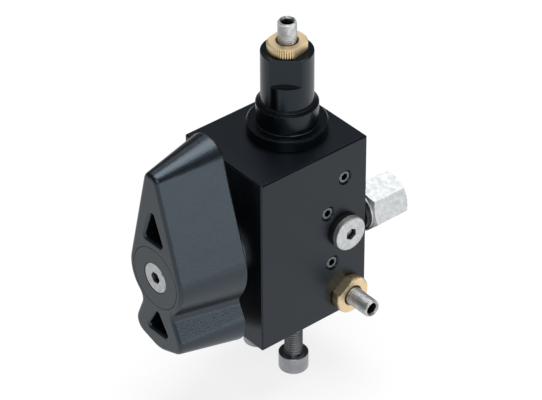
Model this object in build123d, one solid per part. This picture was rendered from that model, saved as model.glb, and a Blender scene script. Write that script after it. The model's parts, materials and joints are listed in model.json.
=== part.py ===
"""Hydraulic panel valve: a drilled block with a turning control handle, a relief valve on top,
a flow throttle low on one side, a hose adaptor at the back and two fixing screws below.

Millimetres. The origin is on the spindle's axis at the block's front face. +X is the side of the
throttle, +Y points to the back and +Z up to the relief valve.
"""

import os
from math import cos, pi, radians, sin, tan

from build123d import *

# Clearances
running_gap = 0.05
thread_gap = 0.05
socket_gap = 0.05
cap_gap = 0.25
stop_gap = 0.15
press_gap = 0.01
seal_squeeze = 0.05

# How far a cutting body runs past the face it opens
cut_past = 1.0

# Valve block
block_width = 49.5
block_depth = 57.0
block_height = 85.0
block_edge = 0.6
side_face = block_width / 2
top_face = block_height / 2
bottom_face = -block_height / 2

# Standard screw threads, as plain cylinders at the outside diameter
adjuster_thread_radius = 4.0
adjuster_socket_flats = 5.0
adjuster_socket_depth = 5.0
adjuster_mouth_radius = 3.25
adjuster_edge = 0.4

# Spindle and its gland
spindle_radius = 6.0
spindle_drive_flats = 9.0
spindle_drive_length = 15.0
spindle_end_gap = 0.3
spindle_tapping_depth = 15.0
gland_thread_radius = 12.0
gland_depth = 9.0
gland_flange_radius = 14.5
gland_flange_height = 2.5
gland_key_hole_radius = 1.5
gland_key_hole_pitch = 10.3
gland_key_hole_depth = 2.0
gland_seal_start = 3.0
gland_seal_section = 0.8
gland_edge = 0.5

# Selector rotor, one piece with the spindle
rotor_radius = 9.0
rotor_bore_wall = 16.2
rotor_bore_end = block_depth - rotor_bore_wall
rotor_end_gap = 0.3
rotor_gallery_radius = 2.5
rotor_port_radius = 1.6
pressure_groove_width = 6.0
relief_groove_width = 4.2
rotor_groove_depth = 1.5
rotor_seal_places = (21.7, 28.2)
rotor_seal_section = 0.9
seal_groove_width = 2.3

# Stop pin in its curved slot
stop_pin_radius = 1.0
stop_pin_pitch = 7.5
stop_pin_reach = 2.2
stop_pin_seat = 3.5
handle_sweep = 90.0

# Control handle
handle_gap = 5.7
handle_depth = 30.7
handle_draft = 11.6
handle_lean = 1.8
handle_hub_radius = 16.9
wing_tip_height = 50.6
wing_corner_radius = 3.5
wing_corner_spread = 1.0
neck_radius = 8.2
neck_drop = 14.0
lobe_radius = 11.35
lobe_drop = 25.0
lobe_corner_radius = 5.9
lobe_corner_spread = 8.8
lobe_corner_drop = 27.95
valley_round = 5.0
front_edge_round = 2.0
back_edge_round = 1.0
handle_wall = 3.2
handle_front_wall = 4.0
hub_boss_radius = 15.0
hub_web = 6.0
hub_collar_radius = 9.5
hub_collar_gap = 0.5
well_wall = 2.2
well_corner_round = 1.2
well_lip_round = 1.4
upper_well_apex = 34.0
upper_well_base = 17.6
upper_well_half_width = 6.2
lower_well_apex = -16.6
lower_well_base = -27.9
lower_well_half_width = 6.8

# Cap and screw in the handle's hub
cap_radius = 14.0
cap_height = 3.0
handle_screw_head_radius = 7.0
handle_screw_head_height = 2.8
handle_screw_edge = 0.3
handle_screw_radius = 3.0
handle_screw_length = 19.0
handle_screw_notch_radius = 0.8
handle_screw_notch_angle = 42.0

# Relief valve, on an axis parallel to Z
relief_from_back = 22.5
relief_depth = block_depth - relief_from_back
base_ring_radius = 17.1
base_ring_height = 5.5
base_ring_edge = 0.5
collar_radius = 13.2
collar_height = 9.4
collar_edge = 0.5
collar_undercut = 0.5
barrel_foot_radius = 12.0
barrel_foot_height = 1.2
barrel_foot_edge = 0.4
barrel_radius = 11.15
barrel_height = 24.85
barrel_flats = 17.8
barrel_flats_height = 13.0
barrel_flats_angle = -44.0
barrel_edge = 0.6
barrel_shank_radius = 9.4
barrel_shank_length = 12.5
barrel_shank_end = top_face - barrel_shank_length
barrel_cap_wall = 8.3
spring_chamber_radius = 6.6
relief_cavity_depth = 22.0
relief_cavity_end = top_face - relief_cavity_depth
relief_seat_radius = 7.0
relief_seat_height = 6.2
relief_throat_radius = 2.5
relief_seal_section = 1.1
poppet_cone_radius = 3.6
poppet_cone_height = 3.0
poppet_disc_radius = 6.3
poppet_disc_height = 2.0
poppet_spigot_radius = 3.1
poppet_spigot_height = 4.0
poppet_rest_gap = 0.1
poppet_tip_radius = 0.8
relief_spring_wire = 0.75
relief_spring_radius = 4.6
relief_spring_turns = 8.0
spring_seat_rise = 20.5
spring_seat_floor = top_face + spring_seat_rise
spring_seat_height = 7.0
spring_seat_seal_section = 0.8

# Adjusting screws and their lock nuts
relief_screw_stand = 9.3
throttle_screw_stand = 12.4
lock_nut_radius = 8.5
lock_nut_height = 4.4
lock_nut_flats = 14.0
lock_nut_mouth_radius = 4.9
lock_nut_edge = 0.5
relief_nut_flats_angle = 11.0
throttle_nut_flats_angle = 36.0

# Throttle, on an axis parallel to X
throttle_from_back = 10.5
throttle_from_bottom = 9.2
throttle_depth = block_depth - throttle_from_back
throttle_height = bottom_face + throttle_from_bottom
throttle_thread_depth = 15.1
throttle_screw_room = 2.6
throttle_plunger_radius = 3.25
throttle_bore_end = 1.0
throttle_passage_radius = 2.0
throttle_passage_wall = 9.75
throttle_passage_end = throttle_passage_wall - side_face
needle_shoulder = 5.5
needle_tip = 1.0
needle_tip_radius = 0.6
needle_seal_place = 6.9
needle_seal_section = 0.7
needle_groove_width = 1.6
screw_end_gap = 0.1

# Drilled galleries
gallery_radius = 2.0
service_gallery_from_back = 12.2
service_gallery_depth = block_depth - service_gallery_from_back
service_gallery_radius = 3.5
tank_gallery_wall = 10.75
tank_gallery_x = tank_gallery_wall - side_face
tank_gallery_from_back = 14.5
tank_gallery_depth = block_depth - tank_gallery_from_back
tank_gallery_radius = 3.0
release_gallery_from_back = 18.5
release_gallery_depth = block_depth - release_gallery_from_back
feed_gallery_x = 4.0
feed_gallery_from_back = 15.0
feed_gallery_depth = block_depth - feed_gallery_from_back
gallery_plug_radius = 2.95
gallery_plug_length = 5.5
gallery_plug_recess = 0.6
gallery_plug_flats = 3.0
gallery_plug_socket = 2.5
gallery_plug_edge = 0.4

# Drillings from the side face: drain to the tank, relief valve's feed and release
drain_from_back = 12.0
drain_from_top = 15.9
relief_feed_from_back = 21.1
relief_feed_from_top = 30.4
release_from_top = 57.1

# Depth Y, height Z and inner end X of each
side_galleries = (
    (block_depth - drain_from_back, top_face - drain_from_top, tank_gallery_x),
    (block_depth - relief_feed_from_back, top_face - relief_feed_from_top, 0.0),
    (release_gallery_depth, top_face - release_from_top, 0.0),
)

# Side port plug with its bonded seal
port_plug_head_radius = 7.75
port_plug_head_height = 3.1
port_plug_seal_radius = 8.0
port_plug_seal_height = 1.4
port_thread_radius = 4.85
port_plug_thread_length = 6.4
port_plug_flats = 5.0
port_plug_socket = 2.6
port_plug_edge = 0.4
port_plug_run_out = 1.0
bonded_lip_width = 1.2
bonded_lip_step = 0.15

# Hose adaptor at the back, with its bonded seal
adaptor_from_side = 7.15
adaptor_x = side_face - adaptor_from_side
adaptor_height = -0.7
adaptor_seal_radius = 7.95
adaptor_seal_height = 2.0
adaptor_face_radius = 8.7
adaptor_face_height = 1.0
adaptor_flats = 19.0
adaptor_length = 18.4
adaptor_turn = 43.6
adaptor_chamfer_angle = 30.0
adaptor_thread_length = 6.0
adaptor_port_radius = 5.72
adaptor_port_depth = 12.0
adaptor_throat_radius = 2.5
adaptor_drill_from_side = 9.25
adaptor_drill_x = side_face - adaptor_drill_from_side
adaptor_mouth_bevel = 0.8
adaptor_face_step = 0.3

# Pressure inlet from below, with its check valve
inlet_depth = 16.0
check_seat_radius = 6.5
check_seat_height = 6.0
check_seat_recess = 0.5
check_throat_radius = 2.5
check_seat_flats = 6.0
check_bore_radius = 5.0
check_bore_end = 21.0
check_poppet_radius = 4.9
check_poppet_height = 6.0
check_floor = 1.5
check_cup_radius = 3.7
check_hole_radius = 0.9
check_cone_radius = 3.4
check_cone_height = 2.4
check_spring_wire = 0.45
check_spring_radius = 3.0
check_spring_turns = 5.0
face_seal_section = 0.95
inlet_seal_radius = 8.3
tank_seal_radius = 5.2
face_seal_recess = 1.5

# Fixing screws below and tapped holes in front
fixing_screw_x = 12.0
fixing_screw_depth = 27.8
fixing_screw_radius = 4.0
fixing_screw_reach = 13.0
fixing_screw_stand = 21.8
fixing_head_radius = 6.5
fixing_head_height = 8.0
fixing_head_edge = 0.5
fixing_head_flats = 6.0
fixing_head_socket = 4.0
panel_hole_spacing = 60.0
panel_hole_radius = 2.5
panel_hole_depth = 11.0

spindle_front = -handle_gap - handle_depth + cap_height + hub_web + spindle_end_gap


def along_x(y, z, start, end, radius):
    """A round bar parallel to X."""
    return Pos((start + end) / 2, y, z) * Rot(0, 90, 0) * Cylinder(radius, abs(end - start))


def along_y(x, z, start, end, radius):
    """A round bar parallel to Y."""
    return Pos(x, (start + end) / 2, z) * Rot(-90, 0, 0) * Cylinder(radius, abs(end - start))


def along_z(x, y, start, end, radius):
    """A round bar parallel to Z."""
    return Pos(x, y, (start + end) / 2) * Cylinder(radius, abs(end - start))


def turned(*profile):
    """A lathe piece about Z from (radius, height) points."""
    half_section = Plane.XZ * make_face(Polyline(*profile, close=True))
    return revolve(half_section, Axis.Z)


def ring(centre_radius, section_radius):
    """A seal ring about Z."""
    return Torus(centre_radius, section_radius)


def hex_socket(flats, depth):
    """A hexagonal key hole from height 0 downwards, with its drilled point."""
    prism = extrude(RegularPolygon(flats / 2, 6, major_radius=False), -depth)
    point_depth = flats / 4
    point = Pos(0, 0, -depth - point_depth / 2) * Cone(0, flats / 2, point_depth)
    return prism + point


def coil(radius, wire, height, turns):
    """A compression spring standing on height 0, with half a turn of closed coil at each end."""
    lift = height - 2 * wire
    path = Helix(pitch=lift / turns, height=lift, radius=radius)
    start = path @ 0
    section = Plane(origin=start, x_dir=(0, 0, 1), z_dir=path % 0) * Circle(wire)
    return Pos(0, 0, wire) * sweep(section, path=path)


def block():
    """The drilled valve block."""
    body = Pos(0, block_depth / 2, 0) * Box(block_width, block_depth, block_height)
    body = chamfer(body.edges(), block_edge)
    body -= selector_drillings()
    body -= relief_drillings()
    body -= throttle_drillings()
    body -= gallery_drillings()
    body -= port_drillings()
    body -= inlet_drillings()
    body -= fixing_drillings()
    return body


def selector_drillings():
    """The spindle's bore, its gland thread and the passages that meet the rotor."""
    cut = along_y(0, 0, 0, gland_depth, gland_thread_radius)
    cut += along_y(0, 0, gland_depth, rotor_bore_end, rotor_radius + running_gap)
    cut += along_y(0, 0, rotor_bore_end, service_gallery_depth, rotor_gallery_radius)
    return cut


def relief_drillings():
    """The cavity of the relief valve, its seat and the passage down to the rotor."""
    cut = along_z(0, relief_depth, relief_cavity_end, top_face, barrel_shank_radius + thread_gap)
    seat_end = relief_cavity_end - relief_seat_height
    cut += along_z(0, relief_depth, seat_end, relief_cavity_end, relief_seat_radius + thread_gap)
    cut += along_z(0, relief_depth, rotor_radius - rotor_groove_depth, seat_end, relief_throat_radius)
    return cut


def throttle_drillings():
    """The throttle's thread, plunger bore and seat passage."""
    thread_end = side_face - throttle_thread_depth
    place = (throttle_depth, throttle_height)
    cut = along_x(*place, thread_end, side_face, adjuster_thread_radius + thread_gap)
    cut += along_x(*place, throttle_bore_end, thread_end, throttle_plunger_radius + running_gap)
    cut += along_x(*place, throttle_passage_end, throttle_bore_end, throttle_passage_radius)
    return cut


def gallery_drillings():
    """The cross drillings, each with the tapped mouth of its plug."""
    tank_end, feed_end = side_galleries[0][1], side_galleries[2][1]
    cut = along_z(tank_gallery_x, tank_gallery_depth, bottom_face, tank_end, tank_gallery_radius)
    cut += along_z(feed_gallery_x, feed_gallery_depth, bottom_face, feed_end, gallery_radius)
    cut += along_z(0, release_gallery_depth, bottom_face, -rotor_radius, gallery_radius)
    for depth, height, inner_end in side_galleries:
        cut += along_x(depth, height, inner_end, side_face, gallery_radius)
    mouth = plug_mouth()
    for place in plug_places():
        cut += place * mouth
    return cut


def plug_mouth():
    """The tapped and countersunk mouth of a gallery, from height 0 downwards."""
    radius = gallery_plug_radius + thread_gap
    depth = gallery_plug_length + gallery_plug_recess
    bevel = gallery_plug_recess
    return turned((0, -depth), (radius, -depth), (radius, -bevel), (radius + bevel, 0), (0, 0))


def plug_places():
    """Where each gallery plug's outer face lies, with local +Z pointing out of the block."""
    side = [Pos(side_face, y, z) * Rot(0, 90, 0) for y, z, _ in side_galleries]
    below = [
        Pos(feed_gallery_x, feed_gallery_depth, bottom_face) * Rot(180, 0, 0),
        Pos(0, release_gallery_depth, bottom_face) * Rot(180, 0, 0),
    ]
    return side + below


def port_drillings():
    """The service gallery, its tapped side mouth and the hose port at the back."""
    plug_end = side_face - port_plug_thread_length - port_plug_run_out
    cut = along_x(service_gallery_depth, 0, plug_end, side_face, port_thread_radius + thread_gap)
    cut += along_x(service_gallery_depth, 0, 0, plug_end, service_gallery_radius)
    port_end = block_depth - adaptor_thread_length - thread_gap
    cut += along_y(adaptor_x, adaptor_height, port_end, block_depth, port_thread_radius + thread_gap)
    cut += along_y(adaptor_drill_x, 0, service_gallery_depth, port_end, adaptor_throat_radius)
    return cut


def inlet_drillings():
    """The pressure inlet with its check valve's bore, and the face seals' recesses."""
    seat_end = check_seat_level()
    bore_end = bottom_face + check_bore_end
    cut = along_z(0, inlet_depth, bottom_face, seat_end, check_seat_radius + thread_gap)
    cut += along_z(0, inlet_depth, seat_end, bore_end, check_bore_radius)
    cut += along_z(0, inlet_depth, bore_end, -rotor_radius + rotor_groove_depth, check_throat_radius)
    for x, y, radius in face_seal_places():
        outer = radius + face_seal_section
        cut += along_z(x, y, bottom_face, bottom_face + face_seal_recess, outer)
    return cut


def face_seal_places():
    """X, Y and ring radius of the two seals in the bottom face."""
    return (
        (0, inlet_depth, inlet_seal_radius),
        (tank_gallery_x, tank_gallery_depth, tank_seal_radius),
    )


def fixing_drillings():
    """Tapped holes: two below for the fixing screws and two in front for the panel's screws."""
    hole_end = bottom_face + fixing_screw_reach + fixing_screw_radius / 2
    left, right = (
        along_z(x, fixing_screw_depth, bottom_face, hole_end, fixing_screw_radius + thread_gap)
        for x in (-fixing_screw_x, fixing_screw_x)
    )
    cut = left + right
    for z in (-panel_hole_spacing / 2, panel_hole_spacing / 2):
        cut += along_y(0, z, 0, panel_hole_depth, panel_hole_radius)
    return cut


def handle_outline(grow):
    """The handle seen from the front: a wing, a round hub and a lobe, each grown by one amount."""
    seam_up = Rot(0, 0, 90)
    seam_down = Rot(0, 0, -90)
    wing = [seam_up * Circle(handle_hub_radius + grow)]
    for x in (-wing_corner_spread, wing_corner_spread):
        tip = Pos(x, wing_tip_height - wing_corner_radius)
        wing.append(tip * seam_down * Circle(wing_corner_radius + grow))
    lobe = [Pos(0, -neck_drop) * seam_up * Circle(neck_radius + grow)]
    lobe.append(Pos(0, -lobe_drop) * seam_up * Circle(lobe_radius + grow))
    for x in (-lobe_corner_spread, lobe_corner_spread):
        lobe.append(Pos(x, -lobe_corner_drop) * seam_up * Circle(lobe_corner_radius + grow))
    return hull(wing) + hull(lobe)


def hull(circles):
    """The flat shape of a band stretched round some circles."""
    edges = [edge for circle in circles for edge in circle.edges()]
    return make_hull(edges)


def tapered(outline_grow, start, end):
    """The handle's outline drawn from one depth to another with the moulding draft."""
    grown = handle_outline(outline_grow + start * tan(radians(handle_draft)))
    return Pos(0, 0, start) * extrude(grown, end - start, taper=-handle_draft)


def well(apex, base, half_width, grow, depth):
    """A triangular well, as an opening or, grown, as its outer wall."""
    triangle = Polygon((0, apex), (-half_width, base), (half_width, base), align=None)
    triangle = fillet(triangle.vertices(), well_corner_round)
    if grow > 0:
        triangle = offset(triangle, grow)
    return extrude(triangle, depth)


def handle_wells(grow, depth):
    """Both triangular wells of the handle."""
    upper = well(upper_well_apex, upper_well_base, upper_well_half_width, grow, depth)
    lower = well(lower_well_apex, lower_well_base, lower_well_half_width, grow, depth)
    return upper + lower


def rounded(shell):
    """Rounds the outside edges of the handle's shell."""
    valley_edges = [edge for edge in long_edges(shell) if is_valley(edge)]
    shell = fillet(valley_edges, valley_round)
    shell = fillet(shell.faces().sort_by(Axis.Z)[0].edges(), front_edge_round)
    return fillet(shell.faces().sort_by(Axis.Z)[-1].edges(), back_edge_round)


def long_edges(shell):
    """The edges that run from the handle's front to its back."""
    return [edge for edge in shell.edges() if edge.bounding_box().size.Z > handle_depth / 2]


def is_valley(edge):
    """Whether an edge lies where the hub and the lobe meet."""
    return -lobe_drop + neck_radius / 2 < edge.center().Y < -neck_drop


def handle():
    """The moulded handle: an outer shell with a hub boss and two wells, open at the back."""
    body = rounded(tapered(0, 0, handle_depth))
    hollow = tapered(-handle_wall, handle_front_wall, handle_depth + cut_past)
    hollow -= along_z(0, 0, 0, 2 * handle_depth, hub_boss_radius)
    hollow -= handle_wells(well_wall, 2 * handle_depth)
    body -= hollow
    body -= handle_wells(0, 2 * handle_depth)
    front = body.faces().sort_by(Axis.Z)[0]
    lips = [edge for wire in front.inner_wires() for edge in wire.edges()]
    body = fillet(lips, well_lip_round)
    collar_end = handle_depth + handle_gap - gland_flange_height - hub_collar_gap
    body += along_z(0, 0, handle_depth - hub_web, collar_end, hub_collar_radius)
    body -= along_z(0, 0, 0, cap_height, cap_radius + cap_gap)
    body -= along_z(0, 0, 0, cap_height + hub_web, handle_screw_radius + running_gap)
    body -= drive_bar(cap_height + hub_web, spindle_end_gap + spindle_drive_length, socket_gap)
    socket_end = cap_height + hub_web + spindle_end_gap + spindle_drive_length
    body -= along_z(0, 0, socket_end, collar_end, spindle_radius + running_gap)
    return to_handle(body)


def drive_bar(start, length, gap):
    """The bar with two flats that carries the handle's turn to the spindle."""
    bar = along_z(0, 0, start, start + length, spindle_radius + gap)
    flats = Box(spindle_drive_flats + 2 * gap, 4 * spindle_radius, length)
    return bar & (Pos(0, 0, start + length / 2) * flats)


def to_handle(shape):
    """Turns a shape from the handle's drawing, front at height 0, to its place on the valve."""
    front = Pos(0, -handle_gap - handle_depth, 0) * Rot(0, -handle_lean, 0)
    return front * Rot(0, 0, 180) * Rot(90, 0, 0) * shape


def to_spindle(shape):
    """Turns a shape with its axis on Z to the spindle's axis, heights becoming depths."""
    return Rot(-90, 0, 0) * shape


def to_relief(shape, height):
    """Stands a shape on the relief valve's axis at a height."""
    return Pos(0, relief_depth, height) * shape


def to_throttle(shape, x):
    """Turns a shape with its axis on Z to the throttle's axis, from one X outwards."""
    return Pos(x, throttle_depth, throttle_height) * Rot(0, 90, 0) * shape


def hub_cap():
    """The flat ring that covers the handle's hub round the screw's head."""
    cap = Cylinder(cap_radius, cap_height) - Cylinder(handle_screw_head_radius + running_gap, cap_height)
    return to_handle(Pos(0, 0, cap_height / 2) * cap)


def handle_screw():
    """The low socket screw that holds the handle on the spindle."""
    sunk = cap_height - handle_screw_head_height
    end = cap_height + handle_screw_length
    screw = along_z(0, 0, sunk, cap_height, handle_screw_head_radius)
    screw = chamfer(screw.edges().sort_by(Axis.Z)[0], handle_screw_edge)
    screw += along_z(0, 0, cap_height, end, handle_screw_radius)
    socket = hex_socket(adjuster_socket_flats, handle_screw_head_height)
    screw -= Pos(0, 0, sunk) * Rot(180, 0, 0) * socket
    notch = Rot(0, 0, -handle_screw_notch_angle) * Pos(-handle_screw_head_radius, 0, 0)
    screw -= notch * along_z(0, 0, 0, handle_screw_head_height, handle_screw_notch_radius)
    return to_handle(screw)


def selector_spindle():
    """The spindle and its ported rotor, turned from one bar."""
    front = spindle_front
    rotor_front = gland_depth + rotor_end_gap
    rotor_back = rotor_bore_end - rotor_end_gap
    bar = Rot(0, 0, -handle_lean) * drive_bar(front, spindle_drive_length, 0)
    bar += along_z(0, 0, front + spindle_drive_length, rotor_front, spindle_radius)
    bar += along_z(0, 0, rotor_front, rotor_back, rotor_radius)
    bar -= groove(inlet_depth, pressure_groove_width, rotor_radius, rotor_groove_depth)
    bar -= groove(relief_depth, relief_groove_width, rotor_radius, rotor_groove_depth)
    for place in rotor_seal_places:
        bar -= groove(place, seal_groove_width, rotor_radius, 2 * rotor_seal_section)
    bar -= along_z(0, 0, front, front + spindle_tapping_depth, handle_screw_radius + thread_gap)
    bar -= along_z(0, 0, inlet_depth - rotor_gallery_radius, rotor_back, rotor_gallery_radius)
    for place in (inlet_depth, relief_depth, release_gallery_depth):
        bar -= along_x(0, place, -rotor_radius, rotor_radius, rotor_port_radius)
    return to_spindle(bar) - stop_slot(rotor_front)


def groove(place, width, radius, depth):
    """A ring to cut a groove round a bar on Z."""
    return Pos(0, 0, place) * (Cylinder(radius + cut_past, width) - Cylinder(radius - depth, width))


def stop_slot(rotor_front):
    """The curved slot in the rotor's front that lets it turn by the handle's sweep."""
    face = Plane(origin=(0, rotor_front, 0), x_dir=(1, 0, 0), z_dir=(0, -1, 0))
    middle_line = CenterArc((0, 0), stop_pin_pitch, 90, handle_sweep)
    outline = SlotArc(middle_line, 2 * (stop_pin_radius + stop_gap))
    return extrude(face * outline, -(stop_pin_reach + stop_gap))


def rotor_seals():
    """The two seal rings in the rotor's grooves."""
    seal = ring(rotor_radius - rotor_seal_section, rotor_seal_section)
    return Compound(children=[to_spindle(Pos(0, 0, place) * seal) for place in rotor_seal_places])


def spindle_gland():
    """The screwed gland that holds the spindle in the block, with its key holes."""
    thread = gland_thread_radius - thread_gap
    gland = along_z(0, 0, 0, gland_depth, thread)
    gland += along_z(0, 0, -gland_flange_height, 0, gland_flange_radius)
    gland = chamfer(gland.edges().sort_by(Axis.Z)[0], gland_edge)
    gland -= along_z(0, 0, -gland_flange_height, gland_depth, spindle_radius + running_gap)
    seal_middle = gland_seal_start + seal_groove_width / 2
    seal_room = spindle_radius + 2 * gland_seal_section
    gland -= Pos(0, 0, seal_middle) * Cylinder(seal_room, seal_groove_width)
    key_hole_floor = gland_key_hole_depth - gland_flange_height
    for x in (-gland_key_hole_pitch, gland_key_hole_pitch):
        gland -= along_z(x, 0, -gland_flange_height, key_hole_floor, gland_key_hole_radius)
    return to_spindle(gland) - stop_pin_bar(gland_depth - stop_pin_seat, gland_depth, press_gap)


def gland_seal():
    """The seal ring between the gland and the spindle."""
    seal_middle = gland_seal_start + seal_groove_width / 2
    seal = ring(spindle_radius + gland_seal_section + running_gap, gland_seal_section - running_gap)
    return to_spindle(Pos(0, 0, seal_middle) * seal)


def stop_pin_bar(start, end, gap):
    """A bar on the stop pin's axis."""
    return along_y(0, stop_pin_pitch, start, end, stop_pin_radius + gap)


def stop_pin():
    """The pin in the gland that limits the rotor's turn."""
    return stop_pin_bar(gland_depth - stop_pin_seat, gland_depth + rotor_end_gap + stop_pin_reach, 0)


def relief_base_ring():
    """The thick ring between the block and the relief valve's collar."""
    base = Cylinder(base_ring_radius, base_ring_height)
    base = chamfer(base.edges(), base_ring_edge)
    base = Pos(0, 0, base_ring_height / 2) * base
    base -= along_z(0, 0, 0, base_ring_height, barrel_shank_radius + thread_gap)
    base -= along_z(0, 0, 0, 2 * relief_seal_section - seal_squeeze, relief_seal_room())
    return to_relief(base, top_face)


def relief_seal_room():
    """The outside radius of the seal's recess under the base ring."""
    return barrel_shank_radius + thread_gap + 2 * relief_seal_section


def relief_base_seal():
    """The seal ring under the base ring."""
    section = relief_seal_section - seal_squeeze
    seal = ring(relief_seal_room() - section, section)
    return to_relief(seal, top_face + section)


def relief_collar():
    """The collar that clamps the base ring, with an undercut at its foot."""
    collar = along_z(0, 0, collar_undercut, collar_height, collar_radius)
    collar = chamfer(collar.edges(), collar_edge)
    collar += along_z(0, 0, 0, collar_undercut + collar_edge, collar_radius - 2 * collar_edge)
    collar -= along_z(0, 0, 0, collar_height, barrel_shank_radius + thread_gap)
    return to_relief(collar, top_face + base_ring_height)


def relief_barrel():
    """The relief valve's barrel with its shank, wrench flats and threaded cap."""
    foot = barrel_foot_level()
    top = barrel_top_level()
    barrel = along_z(0, 0, foot, top, barrel_radius)
    barrel = fillet(barrel.edges().sort_by(Axis.Z)[-1], barrel_edge)
    barrel -= barrel_flats_cut(top - barrel_flats_height)
    shoulder = along_z(0, 0, foot, foot + barrel_foot_height, barrel_foot_radius)
    barrel += chamfer(shoulder.edges().sort_by(Axis.Z)[-1], barrel_foot_edge)
    barrel += along_z(0, 0, barrel_shank_end, foot, barrel_shank_radius)
    barrel -= along_z(0, 0, barrel_shank_end, top - barrel_cap_wall, spring_chamber_radius)
    barrel -= along_z(0, 0, top - barrel_cap_wall, top, adjuster_thread_radius + thread_gap)
    return to_relief(barrel, 0)


def barrel_foot_level():
    """The height of the barrel's shoulder, on top of the collar."""
    return top_face + base_ring_height + collar_height


def barrel_top_level():
    """The height of the barrel's top face, under the lock nut."""
    return barrel_foot_level() + barrel_height


def barrel_flats_cut(start):
    """What the two wrench flats take off the barrel."""
    blank = along_z(0, 0, start, start + barrel_flats_height, 2 * barrel_radius)
    middle = start + barrel_flats_height / 2
    keep = Pos(0, 0, middle) * Rot(0, 0, barrel_flats_angle)
    return blank - keep * Box(barrel_flats, 4 * barrel_radius, barrel_flats_height)


def relief_valve_seat():
    """The hardened seat at the bottom of the relief valve's cavity."""
    seat = Cylinder(relief_seat_radius, relief_seat_height)
    seat -= Cylinder(relief_throat_radius, relief_seat_height)
    return to_relief(seat, relief_cavity_end - relief_seat_height / 2)


def cone_poppet(cone_radius, cone_height, throat_radius):
    """A poppet's cone whose flank meets a throat's edge at height 0."""
    flank = (cone_radius - poppet_tip_radius) / cone_height
    top = (cone_radius - throat_radius + poppet_rest_gap) / flank
    bottom = top - cone_height
    cone = turned((0, bottom), (poppet_tip_radius, bottom), (cone_radius, top), (0, top))
    return cone, top


def relief_poppet():
    """The relief valve's poppet: a cone, a spring disc and a spigot."""
    poppet, top = cone_poppet(poppet_cone_radius, poppet_cone_height, relief_throat_radius)
    poppet += along_z(0, 0, top, top + poppet_disc_height, poppet_disc_radius)
    spigot_start = top + poppet_disc_height
    poppet += along_z(0, 0, spigot_start, spigot_start + poppet_spigot_height, poppet_spigot_radius)
    return to_relief(poppet, relief_cavity_end)


def relief_spring():
    """The relief valve's spring, between the poppet's disc and the spring seat."""
    cone_top = cone_poppet(poppet_cone_radius, poppet_cone_height, relief_throat_radius)[1]
    start = relief_cavity_end + cone_top + poppet_disc_height
    length = spring_seat_floor - start
    return to_relief(coil(relief_spring_radius, relief_spring_wire, length, relief_spring_turns), start)


def relief_spring_seat():
    """The sealed plunger between the spring and the adjusting screw."""
    radius = spring_chamber_radius - running_gap
    seat = along_z(0, 0, 0, spring_seat_height, radius)
    seat -= groove(spring_seat_height / 2, seal_groove_width, radius, 2 * spring_seat_seal_section)
    seat += along_z(0, 0, -poppet_spigot_height, 0, poppet_spigot_radius)
    return to_relief(seat, spring_seat_floor)


def spring_seat_seal():
    """The seal ring in the spring seat's groove."""
    section = spring_seat_seal_section
    seal = ring(spring_chamber_radius - running_gap - section, section)
    return to_relief(seal, spring_seat_floor + spring_seat_height / 2)


def adjusting_screw(length):
    """A headless adjusting screw from height 0, with its key hole at the top."""
    screw = along_z(0, 0, 0, length, adjuster_thread_radius)
    screw = chamfer(screw.edges(), adjuster_edge)
    screw -= Pos(0, 0, length) * hex_socket(adjuster_socket_flats, adjuster_socket_depth)
    floor_radius = adjuster_socket_flats / 2
    floor = floor_radius - adjuster_mouth_radius
    mouth = turned((0, floor), (floor_radius, floor), (adjuster_mouth_radius, 0), (0, 0))
    return screw - Pos(0, 0, length) * mouth


def relief_adjusting_screw():
    """The screw that loads the relief valve's spring."""
    start = spring_seat_floor + spring_seat_height + screw_end_gap
    end = barrel_top_level() + lock_nut_height + relief_screw_stand
    return to_relief(adjusting_screw(end - start), start)


def lock_nut(flats_angle):
    """A round brass lock nut with two flats, standing on height 0."""
    nut = Cylinder(lock_nut_radius, lock_nut_height)
    nut = chamfer(nut.edges(), lock_nut_edge)
    nut &= Rot(0, 0, flats_angle) * Box(lock_nut_flats, 4 * lock_nut_radius, lock_nut_height)
    nut -= Cylinder(adjuster_thread_radius + thread_gap, lock_nut_height)
    bevel = lock_nut_mouth_radius - adjuster_thread_radius
    mouth = Pos(0, 0, (lock_nut_height - bevel) / 2)
    nut -= mouth * Cone(adjuster_thread_radius, lock_nut_mouth_radius, bevel)
    return Pos(0, 0, lock_nut_height / 2) * nut


def relief_lock_nut():
    """The lock nut on top of the relief valve's barrel."""
    return to_relief(lock_nut(relief_nut_flats_angle), barrel_top_level())


def throttle_needle():
    """The throttle's non-turning needle, with a groove for its seal."""
    end = throttle_screw_start() - screw_end_gap
    radius = throttle_plunger_radius
    tip = ((0, needle_tip), (needle_tip_radius, needle_tip))
    needle = turned(*tip, (radius, needle_shoulder), (radius, end), (0, end))
    needle -= groove(needle_seal_place, needle_groove_width, radius, 2 * needle_seal_section)
    return to_throttle(needle, 0)


def throttle_screw_start():
    """Where the throttle's screw meets its needle, with room left to screw it in."""
    return side_face - throttle_thread_depth + throttle_screw_room


def needle_seal():
    """The seal ring on the throttle's needle."""
    seal = ring(throttle_plunger_radius - needle_seal_section, needle_seal_section)
    return to_throttle(seal, needle_seal_place)


def throttle_adjusting_screw():
    """The screw that sets the throttle."""
    start = throttle_screw_start()
    end = side_face + lock_nut_height + throttle_screw_stand
    return to_throttle(adjusting_screw(end - start), start)


def throttle_lock_nut():
    """The lock nut on the throttle's screw, against the block's side."""
    return to_throttle(lock_nut(throttle_nut_flats_angle), side_face)


def gallery_plugs():
    """The hexagon socket plugs that close the cross drillings."""
    plug = Pos(0, 0, -gallery_plug_length / 2) * Cylinder(gallery_plug_radius, gallery_plug_length)
    plug = chamfer(plug.edges(), gallery_plug_edge)
    plug -= hex_socket(gallery_plug_flats, gallery_plug_socket)
    plug = Pos(0, 0, -gallery_plug_recess) * plug
    return Compound(children=[place * plug for place in plug_places()])


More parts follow.
